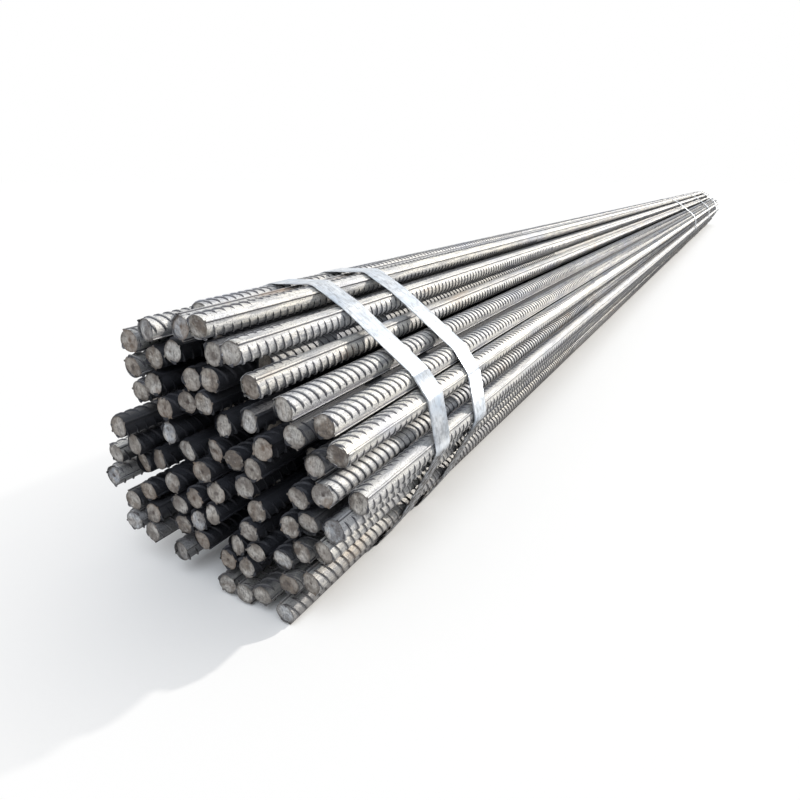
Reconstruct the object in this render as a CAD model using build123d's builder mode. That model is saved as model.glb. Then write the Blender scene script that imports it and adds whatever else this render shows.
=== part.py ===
from build123d import *
import os
from math import asin, atan2, cos, hypot, radians, sin, sqrt

# A bundle of ribbed reinforcing bars, held by flat steel bands.
# X runs across the bundle, Y along the bars from the near end to the far end, and Z is up.
# The origin is on the floor, under the middle of the bundle.

# Bar, nominal diameter 22 mm
bar_length = 6000.0
core_diameter = 21.3
rib_height = 1.9
rib_end_gap = 6.8
ridge_width = 2.5
ridge_height = 1.9
crescent_sides = 8

# Bundle
bar_clearance = 0.3
end_stagger = 10.0

# Bands
band_width = 32.0
band_thickness = 1.0
band_clearance = 0.3
lap_length = 70.0
near_band_place = 153.0
second_band_place = 253.0
middle_band_place = 3403.0
fourth_band_place = 4603.0
far_band_from_far_end = 397.0

core_radius = core_diameter / 2
crest_radius = core_radius + rib_height
ridge_reach = core_radius + ridge_height
bar_pitch = 2 * crest_radius + bar_clearance

# Places of the bars before the bands pull them together. Each bar has its share of the pitch across
# and up, the share of the end stagger that its near end stands back, and its roll as a share of a
# half turn, which is where its two long ridges point.
top_bar_shares = [
    (-1.7, 5.2, 5.0, 0.1), (-0.7, 5.6, 0.3, 0.6), (0.4, 5.5, 0.0, 0.2), (-2.6, 5.1, 0.6, 0.8),
    (0.8, 4.6, 0.8, 0.3), (2.0, 5.0, 0.2, 0.3), (-3.1, 4.6, 0.4, 0.7), (-0.1, 4.4, 4.0, 0.9),
    (-1.8, 4.1, 1.0, 0.2), (-2.4, 4.0, 0.9, 0.5), (-1.4, 3.4, 6.0, 0.0), (0.8, 3.0, 0.7, 0.7),
    (2.2, 3.9, 0.4, 0.3), (-0.4, 3.5, 0.9, 0.4), (-3.2, 3.8, 0.2, 0.9), (1.4, 2.6, 7.0, 0.1),
    (-2.6, 3.1, 0.5, 0.3), (-1.3, 2.6, 0.8, 0.6), (1.6, 3.5, 5.0, 0.8), (2.1, 2.2, 0.9, 0.2),
]
right_bar_shares = [
    (3.7, 2.7, 0.6, 0.82), (4.7, 2.2, 2.1, 0.86), (3.0, 2.0, 6.0, 0.3), (3.8, 1.4, 1.0, 0.6),
    (4.4, 1.0, 1.2, 0.9), (5.3, 1.3, 1.6, 0.13), (3.7, 0.7, 8.0, 0.4), (5.1, 0.2, 0.8, 0.7),
    (5.7, -0.1, 2.9, 0.25), (4.1, -0.2, 0.6, 0.0), (3.0, -0.6, 7.0, 0.5), (4.6, -1.0, 0.7, 0.3),
    (5.4, -1.2, 1.1, 0.43), (3.1, -1.5, 1.0, 0.2), (5.3, -2.5, 0.9, 0.6), (4.0, -2.4, 0.9, 0.8),
    (3.2, -2.7, 0.7, 0.1), (4.7, -4.1, 0.9, 0.65), (3.4, -3.9, 0.7, 0.7), (3.0, -2.4, 6.0, 0.3),
]
bottom_bar_shares = [
    (2.2, -2.1, 0.5, 0.2), (1.1, -3.0, 0.9, 0.5), (0.2, -2.3, 0.7, 0.9), (-0.1, -3.1, 7.0, 0.6),
    (-1.4, -3.2, 0.8, 0.3), (2.1, -3.8, 0.8, 0.0), (1.3, -2.1, 5.0, 0.7), (-2.4, -3.8, 0.9, 0.4),
    (-1.0, -4.4, 1.0, 0.8), (0.2, -4.2, 0.9, 0.1), (0.8, -4.5, 0.8, 0.5), (2.4, -4.3, 5.0, 0.9),
    (-2.8, -4.8, 0.8, 0.2), (-1.2, -5.2, 6.0, 0.6), (-0.1, -5.2, 0.9, 0.3), (1.0, -5.2, 0.7, 0.7),
    (2.0, -5.1, 0.6, 0.0), (3.5, -5.2, 0.4, 0.65), (-2.9, -3.6, 6.0, 0.4), (-0.7, -4.6, 8.0, 0.7),
]
left_bar_shares = [
    (-4.4, 2.3, 6.0, 0.4), (-3.4, 2.3, 0.7, 0.0), (-2.6, 1.7, 8.0, 0.6), (-3.6, 1.7, -1.5, 0.2),
    (-4.6, 1.2, 5.0, 0.9), (-4.9, 0.2, 4.0, 0.5), (-3.8, 0.2, 0.1, 0.7), (-2.9, 0.7, 6.0, 0.1),
    (-5.2, -0.7, 0.3, 0.3), (-4.1, -1.0, 0.8, 0.8), (-3.0, -0.4, 0.9, 0.4), (-3.2, -1.3, 7.0, 0.6),
    (-5.6, -1.8, 0.2, 0.0), (-4.6, -1.7, 5.0, 0.2), (-3.9, -2.1, 0.9, 0.9), (-2.8, -2.3, 6.0, 0.5),
    (-4.6, -2.8, 0.4, 0.7), (-3.5, -3.1, 0.7, 0.3), (-5.2, -3.8, 0.3, 0.1), (-4.1, -4.2, 0.6, 0.6),
]
inner_bar_shares = [
    (-0.5, 2.1, 0.5, 0.1), (0.8, 1.9, 0.8, 0.4), (-1.7, 1.8, 0.3, 0.8), (1.9, 1.5, 5.0, 0.6),
    (0.1, 1.5, 7.0, 0.3), (-0.8, 1.2, 6.0, 0.9), (2.6, 1.1, 0.6, 0.2), (-2.1, 0.9, 0.6, 0.5),
    (1.7, 0.9, 0.9, 0.0), (0.1, 0.5, 1.0, 0.7), (-1.3, 0.5, 0.7, 0.4), (2.9, 0.0, 0.5, 0.9),
    (-2.1, -0.1, 5.0, 0.2), (0.7, -0.2, 8.0, 0.6), (-0.1, -0.1, 0.4, 0.8), (1.6, -0.4, 0.7, 0.3),
    (-1.3, -0.8, 6.0, 0.1), (0.2, -1.2, 0.9, 0.5), (-2.1, -1.1, 0.5, 0.7), (2.5, -1.1, 0.8, 0.4),
    (1.3, -1.3, 6.0, 0.9), (-1.2, -1.8, 0.8, 0.0), (-2.1, -2.2, 0.6, 0.6), (3.2, 0.0, 6.0, 0.3),
]
bar_groups = {
    "top_bars": top_bar_shares,
    "right_bars": right_bar_shares,
    "bottom_bars": bottom_bar_shares,
    "left_bars": left_bar_shares,
    "inner_bars": inner_bar_shares,
}

# Each band's place from the near end, and the direction of its lap from the middle of the bundle, as a
# share of a half turn up from the right
bands = {
    "near_band": (near_band_place, 0.07),
    "second_band": (second_band_place, 0.01),
    "middle_band": (middle_band_place, 0.06),
    "fourth_band": (fourth_band_place, 0.2),
    "far_band": (bar_length - far_band_from_far_end, -0.05),
}

# How the bands pull the bars together: the number of pulls, each a share of the pitch, the number of
# pushes that follow each pull, and the number that end it
pull_count = 60
pull_share = 0.012
pull_push_count = 6
last_push_count = 400
neighbour_share = 1.5

# The transverse ribs of a bar make two crescents between its long ridges. Their crest circle meets the
# core where the rib ends.
rib_end_angle = asin(rib_end_gap / 2 / core_radius)
rib_end_x = core_radius * cos(rib_end_angle)
rib_end_y = core_radius * sin(rib_end_angle)
crescent_rise = (crest_radius**2 - core_radius**2) / (2 * (crest_radius - rib_end_y))
crescent_radius = crest_radius - crescent_rise


def reach(roll, direction):
    """How far a bar reaches from its centre in a direction of the bundle's section."""
    turn = direction - roll
    crescent = crescent_radius + crescent_rise * abs(sin(turn))
    ridge = ridge_reach * abs(cos(turn)) + ridge_width / 2 * abs(sin(turn))
    return max(crescent, ridge)


def push_apart(places, rolls, floor_row, push_count):
    """Moves overlapping bars apart, half the overlap each, with the bars of the floor row left on the floor."""
    near = neighbour_share * bar_pitch
    pairs = [
        (a, b)
        for a in range(len(places))
        for b in range(a)
        if hypot(places[a][0] - places[b][0], places[a][1] - places[b][1]) < near
    ]
    for _ in range(push_count):
        for a, b in pairs:
            across = places[a][0] - places[b][0]
            up = places[a][1] - places[b][1]
            apart = hypot(across, up)
            direction = atan2(up, across)
            needed = reach(rolls[a], direction) + reach(rolls[b], direction) + bar_clearance
            if apart < needed:
                share = (needed - apart) / 2 / apart
                places[a][0] += share * across
                places[a][1] += share * up
                places[b][0] -= share * across
                places[b][1] -= share * up
        for number, floor in floor_row:
            places[number][1] = floor


def settle(shares):
    """Places of the bar centres once the bands have pulled the bundle tight on its floor."""
    places = [[across * bar_pitch, up * bar_pitch] for across, up, _, _ in shares]
    rolls = [radians(180 * roll) for _, _, _, roll in shares]
    floor = min(up for _, up in places)
    floor_row = [(number, up) for number, (_, up) in enumerate(places) if up == floor]
    push_apart(places, rolls, floor_row, last_push_count)
    for _ in range(pull_count):
        for place in places:
            far = hypot(*place)
            if far > pull_share * bar_pitch:
                place[0] -= place[0] / far * pull_share * bar_pitch
                place[1] -= place[1] / far * pull_share * bar_pitch
        push_apart(places, rolls, floor_row, pull_push_count)
    push_apart(places, rolls, floor_row, last_push_count)
    return places, rolls


def hull(points):
    """The corners of the tight loop round the points, in order."""
    loop = []
    for run in (sorted(points), sorted(points, reverse=True)):
        side = []
        for x, y in run:
            while len(side) > 1:
                (x1, y1), (x2, y2) = side[-2:]
                if (x2 - x1) * (y - y1) - (y2 - y1) * (x - x1) > 0:
                    break
                side.pop()
            side.append((x, y))
        loop += side[:-1]
    return loop


all_shares = [bar for group in bar_groups.values() for bar in group]
settled, rolls = settle(all_shares)

# The settled bars are set with the lowest band on the floor and the middle of the bundle at zero.
band_inside = crest_radius + band_clearance
band_outside = band_inside + band_thickness
middle_x = (min(x for x, _ in settled) + max(x for x, _ in settled)) / 2
lowest = min(z for _, z in settled) - band_outside
centres = [(x - middle_x, z - lowest) for x, z in settled]
setbacks = [back * end_stagger for _, _, back, _ in all_shares]
near_end = -(bar_length + max(setbacks) + min(setbacks)) / 2
band_corners = hull(centres)
bundle_height = max(z for _, z in centres) + band_outside
bundle_width = 2 * (max(x for x, _ in centres) + band_outside)

# Section of one bar: round core, two long ridges, and the crescents of the transverse ribs, whose curve
# has a few flats to keep a bundle of this many bars light
ridge_half = ridge_width / 2
ridge_foot = sqrt(core_radius**2 - ridge_half**2)
crescent_start = atan2(rib_end_y - crescent_rise, rib_end_x)
crescent_turn = (radians(180) - 2 * crescent_start) / crescent_sides
upper_half = [(ridge_reach, ridge_half), (ridge_foot, ridge_half)]
for corner in range(crescent_sides + 1):
    angle = crescent_start + corner * crescent_turn
    upper_half.append((crescent_radius * cos(angle), crescent_rise + crescent_radius * sin(angle)))
upper_half += [(-ridge_foot, ridge_half), (-ridge_reach, ridge_half)]
lower_half = [(-x, -y) for x, y in upper_half]
with BuildSketch() as bar_section:
    with BuildLine():
        Polyline(*upper_half, *lower_half, close=True)
    make_face()

# Bars, each a straight run of the section with its own roll and setback
os.makedirs("parts", exist_ok=True)
first = 0
for name, group in bar_groups.items():
    with BuildPart() as bars:
        for number in range(first, first + len(group)):
            x, z = centres[number]
            start = (x, near_end + setbacks[number], z)
            along = (cos(rolls[number]), 0, sin(rolls[number]))
            with BuildSketch(Plane(origin=start, x_dir=along, z_dir=(0, 1, 0))):
                add(bar_section.sketch)
        extrude(amount=bar_length)
    bars.part.label = name
    export_step(bars.part, f"parts/{name}.step")
    first += len(group)


def band_area(reach_out):
    """The area inside the tight loop round the bars, as far out from their centres as stated."""
    with BuildSketch() as area:
        with BuildLine():
            Polyline(*band_corners, close=True)
        make_face()
        offset(amount=reach_out, kind=Kind.ARC)
    return area.sketch


# Bands: a flat strip drawn round the bundle, with its tail lapped over its start
for name, (place, lap_share) in bands.items():
    with BuildPart() as band:
        with BuildSketch(Plane.XZ.offset(-near_end - place)):
            add(band_area(band_outside + band_thickness))
            with Locations(Location((0, bundle_height / 2), 180 * lap_share)):
                Rectangle(bundle_width, lap_length, align=(Align.MIN, Align.CENTER), mode=Mode.INTERSECT)
            add(band_area(band_outside))
            add(band_area(band_inside), mode=Mode.SUBTRACT)
        extrude(amount=-band_width)
    band.part.label = name
    export_step(band.part, f"parts/{name}.step")
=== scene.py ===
import random
from collections import namedtuple
from math import asin, atan2, cos, pi, radians, sin, tan

import bmesh
import bpy
import numpy as np
from bpy.props import FloatProperty, FloatVectorProperty, IntProperty, PointerProperty
from mathutils import Matrix, Vector, noise


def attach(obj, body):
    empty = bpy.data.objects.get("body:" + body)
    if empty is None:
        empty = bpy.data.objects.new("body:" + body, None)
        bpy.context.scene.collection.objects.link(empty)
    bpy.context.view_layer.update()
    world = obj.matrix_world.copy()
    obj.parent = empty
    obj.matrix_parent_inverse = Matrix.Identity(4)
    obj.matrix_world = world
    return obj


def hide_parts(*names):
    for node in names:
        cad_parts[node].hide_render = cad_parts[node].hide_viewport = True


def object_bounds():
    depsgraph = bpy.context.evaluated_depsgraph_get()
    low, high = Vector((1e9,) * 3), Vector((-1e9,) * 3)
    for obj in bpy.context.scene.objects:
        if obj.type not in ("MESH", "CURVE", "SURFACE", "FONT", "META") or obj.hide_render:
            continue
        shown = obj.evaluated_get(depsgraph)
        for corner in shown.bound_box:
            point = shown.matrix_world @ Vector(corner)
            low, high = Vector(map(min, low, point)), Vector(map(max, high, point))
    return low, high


bl_info = {
    "name": "Rebar bundle",
    "version": (1, 0, 0),
    "blender": (4, 5, 0),
    "location": "3D View > Sidebar > Rebar",
    "description": "Dresses a bundle of ribbed reinforcing bars and its steel bands",
    "category": "Object",
}

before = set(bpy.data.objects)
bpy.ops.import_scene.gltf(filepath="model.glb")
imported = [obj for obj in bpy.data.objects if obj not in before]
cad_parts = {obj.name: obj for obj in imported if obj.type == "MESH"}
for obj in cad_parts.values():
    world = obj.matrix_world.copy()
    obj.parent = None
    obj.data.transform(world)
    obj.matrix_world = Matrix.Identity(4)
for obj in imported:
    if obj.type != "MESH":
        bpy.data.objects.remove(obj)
cad_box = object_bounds()

MILLIMETRE = 0.001
BODY = "root"
BAR_NODES = ("top_bars", "right_bars", "bottom_bars", "left_bars", "inner_bars")
BAND_NODES = ("near_band", "second_band", "middle_band", "fourth_band", "far_band")


def length(label, about, millimetres):
    """A length property, given in millimetres."""
    return FloatProperty(name=label, description=about, default=millimetres * MILLIMETRE, unit="LENGTH")


def number(label, about, value):
    """A plain number property."""
    return FloatProperty(name=label, description=about, default=value)


def turn(label, about, value):
    """An angle property, given in degrees."""
    return FloatProperty(name=label, description=about, default=radians(value), subtype="ANGLE")


def direction(label, about, value):
    """A direction property."""
    return FloatVectorProperty(name=label, description=about, default=value, subtype="DIRECTION")


def colour(label, about, value):
    """A colour property."""
    return FloatVectorProperty(name=label, description=about, default=value, min=0, max=1, subtype="COLOR")


class RebarBars(bpy.types.PropertyGroup):
    """Sizes of the bars' rolled surface and of their sheared ends."""

    core_diameter: length("Core", "Diameter of a bar between its ribs", 21.3)
    core_sides: IntProperty(name="Sides", description="Flats round a bar's core", default=26, min=8)
    ridge_height: length("Ridge height", "How far the long ridges stand out of the core", 1.85)
    ridge_top: length("Ridge top", "Width of a long ridge at its top", 1.9)
    ridge_round: length("Ridge rounding", "Rounding of a long ridge's edges", 0.45)
    rib_height: length("Rib height", "How far a crescent rib stands out at its middle", 1.85)
    rib_gap: length("Rib gap", "Gap between the ends of the ribs on the two halves", 6.8)
    rib_pitch: length("Rib pitch", "Distance from one rib to the next", 10.5)
    rib_top: length("Rib top", "Width of a rib at its top", 1.3)
    rib_foot: length("Rib foot", "Width of a rib at its foot", 4.2)
    rib_sunk: length("Rib sunk", "How deep a rib's foot lies in the core", 1.0)
    rib_slant: turn("Rib slant", "How far a rib leans from square across the bar", 27)
    fine_run: length("Fine run", "Run of fine ribs near the camera, and of ribs glimpsed in gaps", 900)
    end_run: length("End run", "Run of fine ribs, and of all ribs on hidden halves, elsewhere", 45)
    least_seen: number("Least seen", "Open share that a half needs to have ribs all along", 0.2)
    least_glimpsed: number("Least glimpsed", "Open share that a half needs to be glimpsed in a gap", 0.08)
    least_facing: number("Least facing", "How far a half must face the camera, from -1 to 1", -0.3)
    end_slant: turn("End slant", "Most that a sheared end leans", 12)
    end_rollover: length("End roll-over", "How far the sheared edge is drawn in", 2.0)
    end_roughness: length("End roughness", "Height of the torn part of a sheared end", 1.0)
    rib_setback: length("Rib setback", "How far a cut rib stands back from a sheared end", 0.12)
    grime_top: length("Grime top", "Height over the floor up to which the bars are grimy", 150)
    seed: IntProperty(name="Seed", description="Seed of the bars' differences", default=7)


class RebarBands(bpy.types.PropertyGroup):
    """Sizes and dirt of the steel bands."""

    edge_round: length("Edge", "Rounding of a band's edges", 0.22)
    edge_steps: IntProperty(name="Edge steps", description="Steps in a rounded edge", default=2, min=1)
    mud_top: length("Mud top", "Height over the floor at which the bands begin to be muddy", 132)
    mud_fade: length("Mud fade", "Height over which the mud thickens", 12)


class RebarStage(bpy.types.PropertyGroup):
    """The floor, the lights and the camera."""

    camera_aside: length("Camera aside", "Camera's place right of the bundle's middle", 387.8)
    camera_back: length("Camera back", "Camera's place in front of the nearest bar end", 321.8)
    camera_height: length("Camera height", "Camera's place above the floor", 392.7)
    camera_turn: turn("Camera turn", "How far the camera looks left of the bars' run", 29.09)
    camera_tilt: turn("Camera tilt", "How far the camera looks down", 20.33)
    lens: FloatProperty(name="Lens", description="Focal length", default=26.83, unit="CAMERA")
    floor_colour: colour("Floor", "Colour of the floor as it is seen", (0.92, 0.92, 0.92))
    floor_shade: colour("Floor shade", "Colour of the floor as it lights the bars", (0.3, 0.3, 0.3))
    floor_white: number("Floor white", "Share of plain white in the floor as seen", 0.86)
    floor_near: length("Floor shadow", "How far round the bundle the floor's white is dimmed", 260)
    sun_from: direction("Low light from", "Direction from which the low light comes", (0.5, 0.76, 0.42))
    sun_strength: number("Low light", "Strength of the low light from behind", 3.5)
    sun_size: turn("Low light size", "How wide the low light is", 2)
    sun_colour: colour("Low light colour", "Colour of the low light", (1.0, 0.95, 0.87))
    fill_from: direction("High light from", "Direction from which the high light comes", (0.3, -0.5, 0.8))
    fill_strength: number("High light", "Strength of the high light from the front", 1.35)
    fill_size: turn("High light size", "How wide the high light is", 40)
    fill_colour: colour("High light colour", "Colour of the high light", (0.87, 0.93, 1.0))
    sky_strength: number("Sky light", "Strength of the light from all round", 0.35)
    sky_colour: colour("Sky colour", "Colour of the light from all round", (0.93, 0.96, 1.0))


# Tolerances for reading the CAD meshes
WELD = 0.001 * MILLIMETRE
END_DEPTH = 1.0 * MILLIMETRE
TIP_DEPTH = 0.03 * MILLIMETRE

# The floor's distance under the bundle and half its side
FLOOR_GAP = 0.1 * MILLIMETRE
HALF_FLOOR = 60.0

# Lines of sight to a bar, and the share of a bar's reach that blocks one
SIGHT_ANGLES = [radians(angle) for angle in range(-60, 61, 30)]
SIGHT_WIDTH = 0.95

# Divisions of the cores and ribs, and the row of ribs from which those at a sheared end are cut
CORE_STEPS = (1, 3, 9)
NEAR_RINGS = (0.92, 0.72, 0.45, 0.2)
FAR_RINGS = (0.9, 0.5)
FINE_STEPS = 8
PLAIN_STEPS = 4
CUT_RIBS = 3
SKIPPED_RIBS = CUT_RIBS - 1

# How the sheared ends differ, where along the shear's stroke the edge is drawn in and the torn part ends,
# how rough the clean part is against it, and the scales of the torn surface
LEAN_SHARES = (0.15, 1)
ROLLOVER_SHARES = (0.3, 1)
TORN_SHARES = (0.4, 1)
ROLLOVER_START = 0.45
TORN_UP_TO = 0.1
CLEAN_TEAR = 0.25
COARSE_TEAR = 1.7
FINE_TEAR = 4.5

# Angles at which shading breaks, faces are joined and a band's edge is rounded
BAR_CREASE = radians(55)
BAND_CREASE = radians(30)
FLAT_ANGLE = radians(1)
RIM_ANGLE = radians(60)

Bar = namedtuple("Bar", "x z near far ridge order")


def piece_from(shape, name, materials, smooth_angle):
    """A finished object from a bmesh, which is then freed."""
    mesh = bpy.data.meshes.new(name)
    shape.to_mesh(mesh)
    shape.free()
    for material in materials:
        mesh.materials.append(material)
    mesh.shade_smooth()
    mesh.set_sharp_from_angle(angle=smooth_angle)
    piece = bpy.data.objects.new(name, mesh)
    bpy.context.scene.collection.objects.link(piece)
    return piece


def as_mesh(shape, name):
    """A mesh from a bmesh, which is then freed."""
    mesh = bpy.data.meshes.new(name)
    shape.to_mesh(mesh)
    shape.free()
    return mesh


def islands(shape):
    """The vertices of each separate solid of a bmesh."""
    met = set()
    found = []
    for first in shape.verts:
        if first in met:
            continue
        met.add(first)
        island = [first]
        for vert in island:
            for edge in vert.link_edges:
                other = edge.other_vert(vert)
                if other not in met:
                    met.add(other)
                    island.append(other)
        found.append(island)
    return found


def merged_copy(node):
    """A bmesh copy of a CAD node with its loose triangles joined."""
    shape = bmesh.new()
    shape.from_mesh(node.data)
    bmesh.ops.remove_doubles(shape, verts=shape.verts, dist=WELD)
    return shape


def read_bars(node):
    """The bars of a CAD node, with the direction in which each one's ridges point."""
    solids = merged_copy(node)
    found = []
    for island in islands(solids):
        near = min(vert.co.y for vert in island)
        far = max(vert.co.y for vert in island)
        outline = [vert.co for vert in island if vert.co.y < near + END_DEPTH]
        middle = sum(outline, Vector()) / len(outline)
        arms = [corner - middle for corner in outline]
        widest = max(arm.length for arm in arms)
        tips = [arm for arm in arms if arm.length > widest - TIP_DEPTH]
        ridge = sum((tip for tip in tips if tip.dot(tips[0]) > 0), Vector())
        found.append((middle.x, middle.z, near, far, atan2(ridge.z, ridge.x)))
    solids.free()
    return [Bar(*bar, order) for order, bar in enumerate(sorted(found))]


def shows(bar, crest, bars, reach):
    """The share of lines of sight to the half of a bar round a crest direction that no other bar blocks."""
    others = [other for other in bars if other is not bar]
    clear = 0
    for around in SIGHT_ANGLES:
        x = bar.x + reach * cos(crest + around)
        z = bar.z + reach * sin(crest + around)
        for lean in SIGHT_ANGLES:
            across, up = cos(crest + around + lean), sin(crest + around + lean)
            clear += not any(
                (other.x - x) * across + (other.z - z) * up > 0
                and abs((other.x - x) * up - (other.z - z) * across) < SIGHT_WIDTH * reach
                for other in others
            )
    return clear / len(SIGHT_ANGLES) ** 2


def bar_outline(sizes):
    """The section of a bar between its ribs, a round core with two ridges, as one face square to the bar."""
    shape = bmesh.new()
    radius = sizes.core_diameter / 2
    bmesh.ops.create_circle(shape, cap_ends=True, segments=sizes.core_sides, radius=radius)
    half_side = Matrix.Rotation(pi / sizes.core_sides, 3, "Z")
    bmesh.ops.rotate(shape, verts=shape.verts, cent=(0, 0, 0), matrix=half_side)
    for side in (-1, 1):
        shape.edges.ensure_lookup_table()
        flat = max(shape.edges, key=lambda edge: side * (edge.verts[0].co.x + edge.verts[1].co.x))
        grown = bmesh.ops.extrude_edge_only(shape, edges=[flat])["geom"]
        tips = [item for item in grown if isinstance(item, bmesh.types.BMVert)]
        narrowed = sizes.ridge_top / (tips[0].co - tips[1].co).length
        bmesh.ops.scale(shape, verts=tips, vec=(1, narrowed, 1))
        bmesh.ops.translate(shape, verts=tips, vec=(side * sizes.ridge_height, 0, 0))
        bmesh.ops.bevel(
            shape,
            geom=tips,
            offset=sizes.ridge_round,
            affect="VERTICES",
            segments=1,
            profile=0.5,
            material=-1,
        )
    bmesh.ops.dissolve_faces(shape, faces=shape.faces)
    bmesh.ops.rotate(shape, verts=shape.verts, cent=(0, 0, 0), matrix=Matrix.Rotation(pi / 2, 3, "X"))
    return as_mesh(shape, "outline")


def crescent(sizes, steps, top_width):
    """One closed crescent rib over the upper half of a bar that lies along Y, with its foot in the core."""
    radius = sizes.core_diameter / 2
    crest = radius + sizes.rib_height
    end_angle = asin(sizes.rib_gap / 2 / radius)
    end_x, end_z = radius * cos(end_angle), radius * sin(end_angle)
    rise = (crest**2 - radius**2) / (2 * (crest - end_z))
    reach = crest - rise
    start = atan2(end_z - rise, end_x)
    shape = bmesh.new()
    foot = reach - sizes.rib_height - sizes.rib_sunk
    corners = [(foot, -sizes.rib_foot / 2), (foot, sizes.rib_foot / 2)]
    corners += [(reach, top_width / 2), (reach, -top_width / 2)] if top_width else [(reach, 0)]
    section = shape.faces.new([shape.verts.new((out, along, 0)) for out, along in corners])
    bmesh.ops.rotate(shape, verts=shape.verts, cent=(0, 0, 0), matrix=Matrix.Rotation(-start, 3, "Y"))
    bmesh.ops.translate(shape, verts=shape.verts, vec=(0, 0, rise))
    first = list(shape.verts)
    swept = bmesh.ops.spin(
        shape,
        geom=[section, *section.edges, *section.verts],
        cent=(0, 0, rise),
        axis=(0, -1, 0),
        angle=pi - 2 * start,
        steps=steps,
    )["geom_last"]
    last = [item for item in swept if isinstance(item, bmesh.types.BMVert)]
    for cap, side in ((first, 1), (last, -1)):
        point = Vector((side * end_x, 0, end_z - sizes.rib_sunk / 4))
        bmesh.ops.pointmerge(shape, verts=cap, merge_co=point)
    bmesh.ops.recalc_face_normals(shape, faces=shape.faces)
    lean = Matrix(((1, 0, 0), (tan(sizes.rib_slant), 1, 0), (0, 0, 1))).to_4x4()
    bmesh.ops.transform(shape, matrix=lean, verts=shape.verts)
    return as_mesh(shape, "rib")


def row_of(unit, count, pitch):
    """A mesh of a unit repeated along the bar."""
    holder = bpy.data.objects.new("row", unit)
    bpy.context.scene.collection.objects.link(holder)
    repeat = holder.modifiers.new("Row", "ARRAY")
    repeat.count = count
    repeat.use_relative_offset = False
    repeat.use_constant_offset = True
    repeat.constant_offset_displace = (0, pitch, 0)
    row = bpy.data.meshes.new_from_object(holder.evaluated_get(bpy.context.evaluated_depsgraph_get()))
    bpy.data.objects.remove(holder)
    return row


def add_copy(shape, mesh, matrix):
    """Adds a moved copy of a mesh to a bmesh."""
    copy = mesh.copy()
    copy.transform(matrix)
    shape.from_mesh(copy)
    bpy.data.meshes.remove(copy)


class Shear:
    """How a shear has left one end of a bar: its lean, its drawn-in edge and its torn surface."""

    def __init__(self, sizes, bar, place, outward, draw):
        self.middle = Vector((bar.x, place, bar.z))
        self.outward = outward
        self.radius = sizes.core_diameter / 2
        self.reach = self.radius + max(sizes.rib_height, sizes.ridge_height)
        heading = draw.uniform(0, 2 * pi)
        self.stroke = Vector((cos(heading), 0, sin(heading)))
        self.lean = tan(sizes.end_slant * draw.uniform(*LEAN_SHARES))
        self.rollover = sizes.end_rollover * draw.uniform(*ROLLOVER_SHARES)
        self.torn = sizes.end_roughness * draw.uniform(*TORN_SHARES)
        self.seed = Vector([draw.uniform(0, 50) for _ in range(3)])

    def depth(self, point):
        """How far the finished end lies inside the bar's end at a point."""
        place = (point - self.middle) / self.radius
        along = place.dot(self.stroke)
        plane = self.lean * (self.reach + along * self.radius)
        drawn = self.rollover * max(0.0, (along - ROLLOVER_START) / (1 - ROLLOVER_START)) ** 2
        coarse = noise.noise(place * COARSE_TEAR + self.seed)
        fine = noise.noise(place * FINE_TEAR + self.seed)
        tear = 0.5 + 0.4 * coarse + 0.1 * fine
        return plane + drawn + self.torn * (1.0 if along < TORN_UP_TO else CLEAN_TEAR) * tear

    def cut(self, shape, behind):
        """Cuts a bmesh along the shear's plane, set back by a little, and closes it."""
        middle = self.middle - Vector((0, self.outward * (self.lean * self.reach + behind), 0))
        normal = Vector((0, self.outward, 0)) + self.lean * self.stroke
        whole = [*shape.verts, *shape.edges, *shape.faces]
        edges = bmesh.ops.bisect_plane(
            shape, geom=whole, plane_co=middle, plane_no=normal.normalized(), clear_outer=True, dist=1e-7
        )["geom_cut"]
        rim = [item for item in edges if isinstance(item, bmesh.types.BMEdge)]
        if rim:
            bmesh.ops.holes_fill(shape, edges=rim)


def shape_end(shape, end, shear, rings):
    """Divides a bar's end face into rings and a fan, and moves them to where the shear has left them."""
    surface = []
    before = 1.0
    for ring in rings:
        end = bmesh.ops.extrude_discrete_faces(shape, faces=[end])["faces"][0]
        at_middle = Matrix.Translation(-shear.middle)
        bmesh.ops.scale(shape, vec=(ring / before, 1, ring / before), space=at_middle, verts=end.verts)
        surface += [face for edge in end.edges for face in edge.link_faces if face != end]
        before = ring
    surface += bmesh.ops.poke(shape, faces=[end])["faces"]
    for face in surface:
        face.material_index = 1
    for vert in {vert for face in surface for vert in face.verts}:
        vert.co.y -= shear.outward * shear.depth(vert.co)


def bar_core(outline, bar, sizes, shears):
    """A bar's core with its long ridges and its two sheared ends."""
    shape = bmesh.new()
    shape.from_mesh(outline)
    stand = Matrix.Translation((bar.x, bar.near, bar.z)) @ Matrix.Rotation(-bar.ridge, 4, "Y")
    bmesh.ops.transform(shape, matrix=stand, verts=shape.verts)
    shape.faces.ensure_lookup_table()
    near_face = shape.faces[0]
    grown = bmesh.ops.extrude_face_region(shape, geom=[near_face])["geom"]
    far_face = next(item for item in grown if isinstance(item, bmesh.types.BMFace))
    steps = [sizes.end_rollover * times for times in CORE_STEPS]
    places = [bar.near + step for step in steps] + [bar.far - step for step in reversed(steps)] + [bar.far]
    bmesh.ops.translate(shape, verts=far_face.verts, vec=(0, places[0] - bar.near, 0))
    for before, place in zip(places, places[1:]):
        far_face = bmesh.ops.extrude_discrete_faces(shape, faces=[far_face])["faces"][0]
        bmesh.ops.translate(shape, verts=far_face.verts, vec=(0, place - before, 0))
    shape_end(shape, near_face, shears[0], NEAR_RINGS)
    shape_end(shape, far_face, shears[1], FAR_RINGS)
    bmesh.ops.recalc_face_normals(shape, faces=shape.faces)
    return as_mesh(shape, "core")


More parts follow.
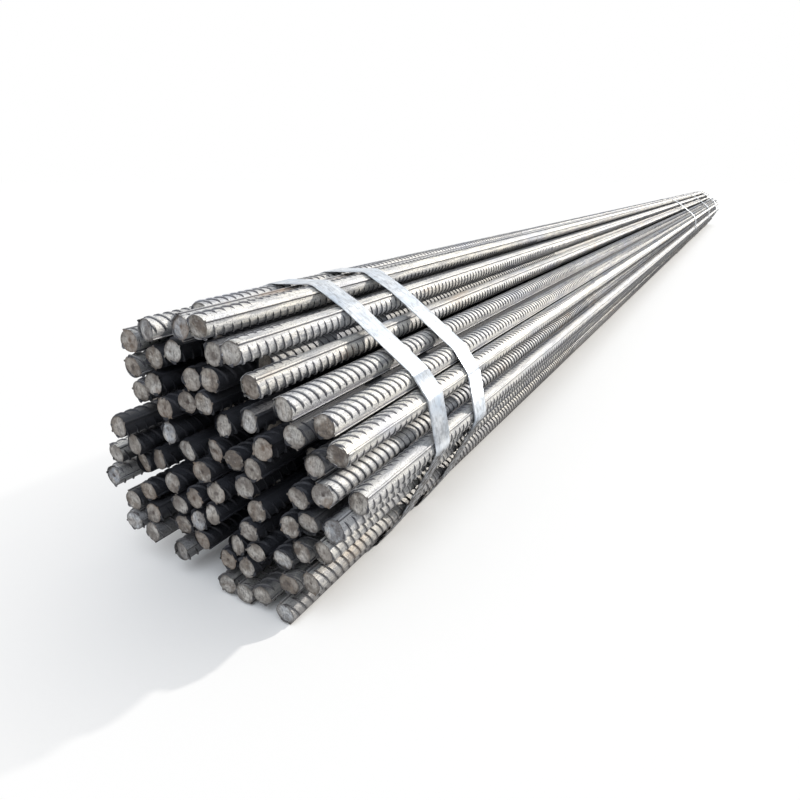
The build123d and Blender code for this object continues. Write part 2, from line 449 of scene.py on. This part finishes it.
class RibRows(dict):
    """Rows of ribs by kind and count, each made when it is first asked for."""

    def __init__(self, sizes):
        super().__init__()
        self.pitch = sizes.rib_pitch
        self.units = {
            "fine": crescent(sizes, FINE_STEPS, sizes.rib_top),
            "plain": crescent(sizes, PLAIN_STEPS, 0),
        }

    def __missing__(self, key):
        kind, count = key
        self[key] = row_of(self.units[kind], count, self.pitch)
        return self[key]


def add_half_ribs(shape, rows, bar, crest, first, count, shears, setback, kind, run, whole):
    """Adds the ribs of one half of a bar, cut at its sheared ends. Where the half is hidden, it has only a
    run of them at each end."""
    face_up = Matrix.Rotation(pi / 2 - crest, 4, "Y")

    def place(index):
        return Matrix.Translation((bar.x, first + index * rows.pitch, bar.z)) @ face_up

    for start, shear in ((-1, shears[0]), (count - SKIPPED_RIBS, shears[1])):
        cut = bmesh.new()
        add_copy(cut, rows["fine" if start < 0 else "plain", CUT_RIBS], place(start))
        shear.cut(cut, setback)
        ends = as_mesh(cut, "cut ribs")
        shape.from_mesh(ends)
        bpy.data.meshes.remove(ends)
    add_copy(shape, rows[kind, run], place(SKIPPED_RIBS))
    rest = count - 2 * SKIPPED_RIBS - run if whole else run
    add_copy(shape, rows["plain", rest], place(count - SKIPPED_RIBS - rest))


class REBAR_OT_bars(bpy.types.Operator):
    """Makes the ribbed bars, each where its plain solid lies"""

    bl_idname = "rebar.bars"
    bl_label = "Ribbed bars"

    def execute(self, context):
        sizes = context.scene.rebar_bars
        stage = context.scene.rebar_stage
        groups = {name: read_bars(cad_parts[name]) for name in BAR_NODES}
        bars = [bar for group in groups.values() for bar in group]
        materials = [rolled_steel(sizes), sheared_steel()]
        outline = bar_outline(sizes)
        rows = RibRows(sizes)
        reach = sizes.core_diameter / 2 + sizes.rib_height
        for name, group in groups.items():
            shape = bmesh.new()
            ranges = []
            for bar in group:
                draw = random.Random(f"{name} {bar.order} {sizes.seed}")
                shears = (Shear(sizes, bar, bar.near, -1, draw), Shear(sizes, bar, bar.far, 1, draw))
                first = bar.near + draw.random() * rows.pitch
                count = int((bar.far - first) / rows.pitch) + 1
                begin = len(shape.verts)
                core = bar_core(outline, bar, sizes, shears)
                shape.from_mesh(core)
                bpy.data.meshes.remove(core)
                to_camera = Vector((stage.camera_aside - bar.x, stage.camera_height - bar.z)).normalized()
                crests = (bar.ridge + pi / 2, bar.ridge - pi / 2)
                openness = [shows(bar, crest, bars, reach) for crest in crests]
                for crest, clear in zip(crests, openness):
                    whole = clear > sizes.least_seen
                    glimpsed = clear > sizes.least_glimpsed
                    facing = to_camera.dot(Vector((cos(crest), sin(crest)))) > sizes.least_facing
                    near = glimpsed and facing
                    kind = "fine" if whole or not near else "plain"
                    run = int((sizes.fine_run if near else sizes.end_run) / rows.pitch)
                    add_half_ribs(
                        shape, rows, bar, crest, first, count, shears, sizes.rib_setback, kind, run, whole
                    )
                ranges.append((begin, len(shape.verts), bar, openness, draw.random(), draw.random()))
            piece = piece_from(shape, name.replace("_bars", "_ribbed_bars"), materials, BAR_CREASE)
            mark_bars(piece, ranges, sizes)
            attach(piece, BODY)
            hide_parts(name)
        return {"FINISHED"}


def mark_bars(piece, ranges, sizes):
    """Gives each point its distance from the axis, height over the core, open share and its bar's tones."""
    mesh = piece.data
    places = np.empty(len(mesh.vertices) * 3, np.float32)
    mesh.vertices.foreach_get("co", places)
    places = places.reshape(-1, 3)
    names = ("reach", "rise", "open", "bar_tone", "bar_rust")
    values = {name: np.zeros(len(places), np.float32) for name in names}
    for begin, end, bar, (above, below), tone, rust in ranges:
        out = places[begin:end, ::2] - (bar.x, bar.z)
        reach = np.hypot(out[:, 0], out[:, 1])
        values["reach"][begin:end] = np.clip(reach / (sizes.core_diameter / 2 + sizes.rib_height), 0, 1)
        values["rise"][begin:end] = np.clip((reach - sizes.core_diameter / 2) / sizes.rib_height, 0, 1)
        towards = (out @ (-sin(bar.ridge), cos(bar.ridge))) / np.maximum(reach, MILLIMETRE)
        values["open"][begin:end] = below + (above - below) * (1 + towards) / 2
        values["bar_tone"][begin:end] = tone
        values["bar_rust"][begin:end] = rust
    for name, numbers in values.items():
        mesh.attributes.new(name, "FLOAT", "POINT").data.foreach_set("value", numbers)


def node_material(name):
    """A new material, its shader and a maker of its nodes."""
    material = bpy.data.materials.new(name)
    material.use_nodes = True
    shader = material.node_tree.nodes["Principled BSDF"]
    return material, shader, node_maker(material.node_tree)


def node_maker(tree):
    """A function that adds a node to a tree, sets its values and links what is a socket."""

    def add(kind, inputs=None, **settings):
        node = tree.nodes.new(kind)
        for key, value in settings.items():
            setattr(node, key, value)
        for key, value in (inputs or {}).items():
            feed(node.inputs[key], value)
        return node

    return add


def feed(socket, value):
    """Gives an input a value or links an output to it."""
    if isinstance(value, bpy.types.NodeSocket):
        socket.id_data.links.new(value, socket)
    elif isinstance(value, tuple) and len(value) == 3 and socket.type == "RGBA":
        socket.default_value = (*value, 1)
    else:
        socket.default_value = value


def ramp(add, value, stops):
    """A colour ramp over a value, with stops of place and colour or grey."""
    node = add("ShaderNodeValToRGB", {"Fac": value})
    elements = node.color_ramp.elements
    while len(elements) < len(stops):
        elements.new(0.5)
    for element, (place, shade) in zip(elements, stops):
        element.position = place
        element.color = (*shade, 1) if isinstance(shade, tuple) else (shade, shade, shade, 1)
    return node.outputs["Color"]


def mix(add, factor, first, second):
    """A mix of two colours."""
    node = add("ShaderNodeMix", data_type="RGBA")
    sockets = {(socket.name, socket.type): socket for socket in node.inputs if socket.enabled}
    feed(sockets["Factor", "VALUE"], factor)
    feed(sockets["A", "RGBA"], first)
    feed(sockets["B", "RGBA"], second)
    return next(socket for socket in node.outputs if socket.type == "RGBA")


def calculate(add, operation, first, second):
    """The result of an operation on two values."""
    return add("ShaderNodeMath", {0: first, 1: second}, operation=operation).outputs[0]


def attribute(add, name):
    """The value of one of the piece's own attributes."""
    return add("ShaderNodeAttribute", attribute_name=name).outputs["Fac"]


def grain(add, scale, detail, stretch=(1, 1, 1)):
    """Noise over the object's own coordinates, stretched along the axes with a small factor."""
    place = add("ShaderNodeTexCoord").outputs["Object"]
    place = add("ShaderNodeMapping", {"Vector": place, "Scale": stretch}).outputs["Vector"]
    inputs = {"Vector": place, "Scale": scale, "Detail": detail, "Roughness": 0.6}
    return add("ShaderNodeTexNoise", inputs).outputs["Fac"]


def height_of(add):
    """The height over the floor."""
    place = add("ShaderNodeTexCoord").outputs["Object"]
    return add("ShaderNodeSeparateXYZ", {"Vector": place}).outputs["Z"]


def bump(add, height, strength, depth):
    """A relief too fine for the mesh."""
    inputs = {"Height": height, "Strength": strength, "Distance": depth}
    return add("ShaderNodeBump", inputs).outputs["Normal"]


# Colours of the rolled bars: worn, cooler, in streaks, painted shade beside the ribs, in specks, rusty,
# grimy, and painted shade where a half is hidden in the bundle
WORN_STEEL = ((0.3, (0.58, 0.60, 0.66)), (0.5, (0.78, 0.76, 0.71)), (0.7, (0.87, 0.84, 0.76)))
COOL_STEEL = (0.46, 0.48, 0.53)
STREAK_SCALE = (0.33, 0.34, 0.37)
FLANK_SHADE = (0.05, 0.05, 0.065)
SPECK_SCALE = (0.22, 0.22, 0.23)
LIGHT_RUST = (0.34, 0.22, 0.13)
GRIME = (0.11, 0.10, 0.095)
HIDDEN_SHADE = (0.03, 0.032, 0.04)


def rolled_steel(sizes):
    """Hot-rolled bar steel: pale where it is worn, with painted shade on halves hidden inside the bundle and
    on the flanks beside the ribs, and grimy near the floor."""
    material, shader, add = node_material("rolled steel")
    rise = attribute(add, "rise")
    streak = grain(add, 260.0, 4.0, (1, 0.08, 1))
    patch = grain(add, 30.0, 5.0, (1, 0.25, 1))
    speck = grain(add, 700.0, 5.0, (1, 0.8, 1))
    worn = ramp(add, patch, WORN_STEEL)
    toned = mix(add, calculate(add, "MULTIPLY", attribute(add, "bar_tone"), 0.5), worn, COOL_STEEL)
    streaked = mix(add, ramp(add, streak, [(0.4, 0.65), (0.52, 0.0)]), toned, STREAK_SCALE)
    # Painted shade: the flanks beside each rib are darkened, standing in for the ribs' own shadows
    rib_flank_shade = ramp(add, rise, [(0.0, 0.0), (0.03, 0.95), (0.55, 0.9), (0.9, 0.0)])
    rib_flank_shaded = mix(add, rib_flank_shade, streaked, FLANK_SHADE)
    specked = mix(add, ramp(add, speck, [(0.34, 0.85), (0.47, 0.0)]), rib_flank_shaded, SPECK_SCALE)
    rust = calculate(add, "ADD", patch, calculate(add, "MULTIPLY", attribute(add, "bar_rust"), 0.12))
    spotted = calculate(add, "ADD", rust, calculate(add, "MULTIPLY", speck, 0.15))
    rusty = ramp(add, spotted, [(0.76, 0.0), (0.9, 0.55)])
    rusted = mix(add, rusty, specked, LIGHT_RUST)
    low = add("ShaderNodeMapRange", {"Value": height_of(add), "From Min": sizes.grime_top, "From Max": 0.0})
    grime = calculate(add, "MULTIPLY", low.outputs["Result"], ramp(add, patch, [(0.35, 0.85), (0.7, 0.4)]))
    grimed = mix(add, grime, rusted, GRIME)
    # Painted shade: halves that are little open inside the bundle are darkened to near black
    hidden = ramp(add, attribute(add, "open"), [(0.0, 1.0), (0.08, 0.8), (0.28, 0.0)])
    feed(shader.inputs["Base Color"], mix(add, hidden, grimed, HIDDEN_SHADE))
    feed(shader.inputs["Metallic"], 0.35)
    feed(shader.inputs["Roughness"], calculate(add, "ADD", calculate(add, "MULTIPLY", streak, 0.25), 0.45))
    height = calculate(add, "ADD", calculate(add, "MULTIPLY", streak, 0.4), speck)
    feed(shader.inputs["Normal"], bump(add, height, 0.9, 0.0008))
    return material


# Colours of the cut faces: from bar to bar, dull, lifted, in clouds light and dark, grit, rim, pits and rust
CUT_BROWNS = ((0.0, (0.23, 0.185, 0.145)), (0.25, (0.40, 0.33, 0.265)), (0.5, (0.43, 0.41, 0.385)))
CUT_GREYS = ((0.75, (0.62, 0.56, 0.49)), (1.0, (0.60, 0.67, 0.77)))
CUT_DULL = (0.18, 0.155, 0.14)
CUT_LIFTED = (0.84, 0.83, 0.81)
CUT_LIGHT_CLOUD = (0.86, 0.82, 0.76)
CUT_DARK_CLOUD = (0.15, 0.125, 0.11)
CUT_GRIT = (0.12, 0.105, 0.10)
CUT_RIM = (0.10, 0.085, 0.075)
CUT_PIT = (0.05, 0.035, 0.03)
CUT_RUST = (0.22, 0.15, 0.10)


def sheared_steel():
    """The cut face of a bar: matt, brown to bluish grey, torn, darker at its rim and spotted with rust."""
    material, shader, add = node_material("sheared steel")
    rust = attribute(add, "bar_rust")
    reach = attribute(add, "reach")
    slow = grain(add, 42.0, 1.0)
    cloud = grain(add, 110.0, 3.0)
    grit = grain(add, 520.0, 4.0, (1, 1, 0.45))
    base = ramp(add, attribute(add, "bar_tone"), CUT_BROWNS + CUT_GREYS)
    graded = mix(add, ramp(add, slow, [(0.36, 0.75), (0.54, 0.0)]), base, CUT_DULL)
    lifted = mix(add, ramp(add, slow, [(0.46, 0.0), (0.68, 0.75)]), graded, CUT_LIFTED)
    clouded = mix(add, ramp(add, cloud, [(0.5, 0.0), (0.7, 0.7)]), lifted, CUT_LIGHT_CLOUD)
    dulled = mix(add, ramp(add, cloud, [(0.32, 0.8), (0.46, 0.0)]), clouded, CUT_DARK_CLOUD)
    gritty = mix(add, ramp(add, grit, [(0.36, 0.6), (0.52, 0.0)]), dulled, CUT_GRIT)
    rimmed = mix(add, ramp(add, reach, [(0.62, 0.0), (0.86, 0.8)]), gritty, CUT_RIM)
    middle = calculate(add, "ADD", reach, calculate(add, "MULTIPLY", cloud, 0.5))
    pit = ramp(add, middle, [(0.3, 0.85), (0.46, 0.0)])
    some = ramp(add, rust, [(0.5, 0.0), (0.7, 1.0)])
    pitted = mix(add, calculate(add, "MULTIPLY", pit, some), rimmed, CUT_PIT)
    spots = calculate(add, "ADD", slow, calculate(add, "MULTIPLY", rust, 0.2))
    rusty = ramp(add, spots, [(0.64, 0.0), (0.8, 0.6)])
    feed(shader.inputs["Base Color"], mix(add, rusty, pitted, CUT_RUST))
    feed(shader.inputs["Metallic"], 0.15)
    feed(shader.inputs["Roughness"], calculate(add, "ADD", calculate(add, "MULTIPLY", grit, 0.2), 0.45))
    height = calculate(add, "ADD", cloud, calculate(add, "MULTIPLY", grit, 0.25))
    feed(shader.inputs["Normal"], bump(add, height, 1.0, 0.005))
    return material


# Colours of the bands: bright strip, dust, lengthwise lines and mud
BRIGHT_STRIP = ((0.3, (0.52, 0.60, 0.70)), (0.5, (0.70, 0.75, 0.81)), (0.7, (0.86, 0.88, 0.90)))
DUST = (0.40, 0.42, 0.45)
STRIP_LINES = (0.30, 0.33, 0.38)
MUD = (0.06, 0.048, 0.04)


def band_steel(sizes):
    """Bright strip with fine lengthwise lines and dull patches, muddy on its low stretches."""
    material, shader, add = node_material("band steel")
    line = grain(add, 1100.0, 3.0, (0.06, 1, 0.06))
    patch = grain(add, 26.0, 4.0)
    spot = grain(add, 170.0, 5.0)
    bright = ramp(add, patch, BRIGHT_STRIP)
    dusty = mix(add, ramp(add, spot, [(0.36, 0.7), (0.52, 0.0)]), bright, DUST)
    lined = mix(add, ramp(add, line, [(0.35, 0.6), (0.55, 0.0)]), dusty, STRIP_LINES)
    edge = calculate(add, "ADD", height_of(add), calculate(add, "MULTIPLY", spot, sizes.mud_fade))
    fade = {"Value": edge, "From Min": sizes.mud_top + sizes.mud_fade, "From Max": sizes.mud_top}
    low = add("ShaderNodeMapRange", fade).outputs["Result"]
    mud = calculate(add, "MULTIPLY", low, ramp(add, spot, [(0.4, 1.0), (0.62, 0.45)]))
    feed(shader.inputs["Base Color"], mix(add, mud, lined, MUD))
    feed(shader.inputs["Metallic"], calculate(add, "SUBTRACT", 0.8, calculate(add, "MULTIPLY", mud, 0.6)))
    rough = calculate(add, "ADD", calculate(add, "MULTIPLY", line, 0.15), 0.36)
    feed(shader.inputs["Roughness"], calculate(add, "ADD", rough, calculate(add, "MULTIPLY", mud, 0.4)))
    relief = calculate(add, "ADD", calculate(add, "MULTIPLY", line, 0.1), patch)
    feed(shader.inputs["Normal"], bump(add, relief, 0.5, 0.0015))
    return material


class REBAR_OT_bands(bpy.types.Operator):
    """Makes the steel bands that hold the bars"""

    bl_idname = "rebar.bands"
    bl_label = "Steel bands"

    def execute(self, context):
        sizes = context.scene.rebar_bands
        material = band_steel(sizes)
        for name in BAND_NODES:
            shape = merged_copy(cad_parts[name])
            bmesh.ops.dissolve_limit(
                shape,
                angle_limit=FLAT_ANGLE,
                verts=shape.verts,
                edges=shape.edges,
                use_dissolve_boundaries=False,
            )
            edges = [edge for edge in shape.edges if is_rim(edge)]
            bmesh.ops.bevel(
                shape,
                geom=edges,
                offset=sizes.edge_round,
                affect="EDGES",
                segments=sizes.edge_steps,
                profile=0.5,
                material=-1,
            )
            piece = piece_from(shape, name.replace("_band", "_steel_band"), [material], BAND_CREASE)
            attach(piece, BODY)
            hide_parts(name)
        return {"FINISHED"}


def is_rim(edge):
    """Whether an edge of a band runs along its rim, between a side and the outer or inner face."""
    if len(edge.link_faces) != 2 or edge.calc_face_angle() < RIM_ANGLE:
        return False
    return abs(edge.verts[0].co.y - edge.verts[1].co.y) < MILLIMETRE


def sun(name, towards, strength, size, tint):
    """A lamp as far as the sun, shining from a direction."""
    lamp = bpy.data.lights.new(name, "SUN")
    lamp.energy = strength
    lamp.angle = size
    lamp.color = tint
    holder = bpy.data.objects.new(name, lamp)
    holder.rotation_mode = "QUATERNION"
    holder.rotation_quaternion = Vector(towards).to_track_quat("Z", "Y")
    bpy.context.scene.collection.objects.link(holder)


def is_seen(add):
    """One for what the camera sees, also in a reflection or through glass, and nothing for other light."""
    rays = add("ShaderNodeLightPath").outputs
    seen = calculate(add, "MAXIMUM", rays["Is Camera Ray"], rays["Is Glossy Ray"])
    return calculate(add, "MAXIMUM", seen, rays["Is Transmission Ray"])


class REBAR_OT_stage(bpy.types.Operator):
    """Makes the floor, the lights and the camera"""

    bl_idname = "rebar.stage"
    bl_label = "Stage"

    def execute(self, context):
        stage = context.scene.rebar_stage
        low = cad_box[0]
        shape = bmesh.new()
        bmesh.ops.create_grid(shape, x_segments=1, y_segments=1, size=HALF_FLOOR)
        bmesh.ops.translate(shape, verts=shape.verts, vec=(0, 0, low.z - FLOOR_GAP))
        material, shader, add = node_material("pale floor")
        feed(shader.inputs["Roughness"], 0.9)
        seen = is_seen(add)
        floor_tone = mix(add, seen, tuple(stage.floor_shade), tuple(stage.floor_colour))
        feed(shader.inputs["Base Color"], floor_tone)
        white = add("ShaderNodeEmission", {"Color": (1.0, 1.0, 1.0), "Strength": 1.0})
        clear = add("ShaderNodeAmbientOcclusion", {"Distance": stage.floor_near}).outputs["AO"]
        open_floor = calculate(add, "POWER", clear, 2.0)
        share = calculate(add, "MULTIPLY", calculate(add, "MULTIPLY", seen, stage.floor_white), open_floor)
        whitened = add("ShaderNodeMixShader", {0: share, 1: shader.outputs[0], 2: white.outputs[0]})
        feed(material.node_tree.nodes["Material Output"].inputs["Surface"], whitened.outputs[0])
        piece_from(shape, "floor", [material], BAND_CREASE)
        world = bpy.data.worlds.new("studio")
        world.use_nodes = True
        context.scene.world = world
        add = node_maker(world.node_tree)
        seen = is_seen(add)
        background = world.node_tree.nodes["Background"]
        feed(background.inputs["Color"], mix(add, seen, tuple(stage.sky_colour), (1.0, 1.0, 1.0)))
        strength = calculate(add, "MULTIPLY", seen, 1 - stage.sky_strength)
        feed(background.inputs["Strength"], calculate(add, "ADD", strength, stage.sky_strength))
        sun("low light", stage.sun_from, stage.sun_strength, stage.sun_size, stage.sun_colour)
        sun("high light", stage.fill_from, stage.fill_strength, stage.fill_size, stage.fill_colour)
        lens = bpy.data.cameras.new("camera")
        lens.lens = stage.lens
        lens.clip_start = 0.01
        lens.clip_end = 200
        camera = bpy.data.objects.new("camera", lens)
        camera.location = (stage.camera_aside, low.y - stage.camera_back, stage.camera_height)
        camera.rotation_euler = (pi / 2 - stage.camera_tilt, 0, stage.camera_turn)
        context.scene.collection.objects.link(camera)
        context.scene.camera = camera
        context.scene.view_settings.view_transform = "Standard"
        return {"FINISHED"}


class REBAR_PT_bundle(bpy.types.Panel):
    """The bundle's operators and sizes"""

    bl_idname = "REBAR_PT_bundle"
    bl_label = "Rebar bundle"
    bl_space_type = "VIEW_3D"
    bl_region_type = "UI"
    bl_category = "Rebar"

    def draw(self, context):
        for operator in OPERATORS:
            self.layout.operator(operator.bl_idname)
        for group in (context.scene.rebar_bars, context.scene.rebar_bands, context.scene.rebar_stage):
            box = self.layout.box()
            for name in group.__annotations__:
                box.prop(group, name)


OPERATORS = (REBAR_OT_bars, REBAR_OT_bands, REBAR_OT_stage)
CLASSES = (RebarBars, RebarBands, RebarStage, *OPERATORS, REBAR_PT_bundle)


def register():
    for each in CLASSES:
        bpy.utils.register_class(each)
    bpy.types.Scene.rebar_bars = PointerProperty(type=RebarBars)
    bpy.types.Scene.rebar_bands = PointerProperty(type=RebarBands)
    bpy.types.Scene.rebar_stage = PointerProperty(type=RebarStage)


def unregister():
    del bpy.types.Scene.rebar_bars
    del bpy.types.Scene.rebar_bands
    del bpy.types.Scene.rebar_stage
    for each in reversed(CLASSES):
        bpy.utils.unregister_class(each)


def main():
    register()
    bpy.ops.rebar.bars()
    bpy.ops.rebar.bands()
    bpy.ops.rebar.stage()


if __name__ == "__main__":
    main()
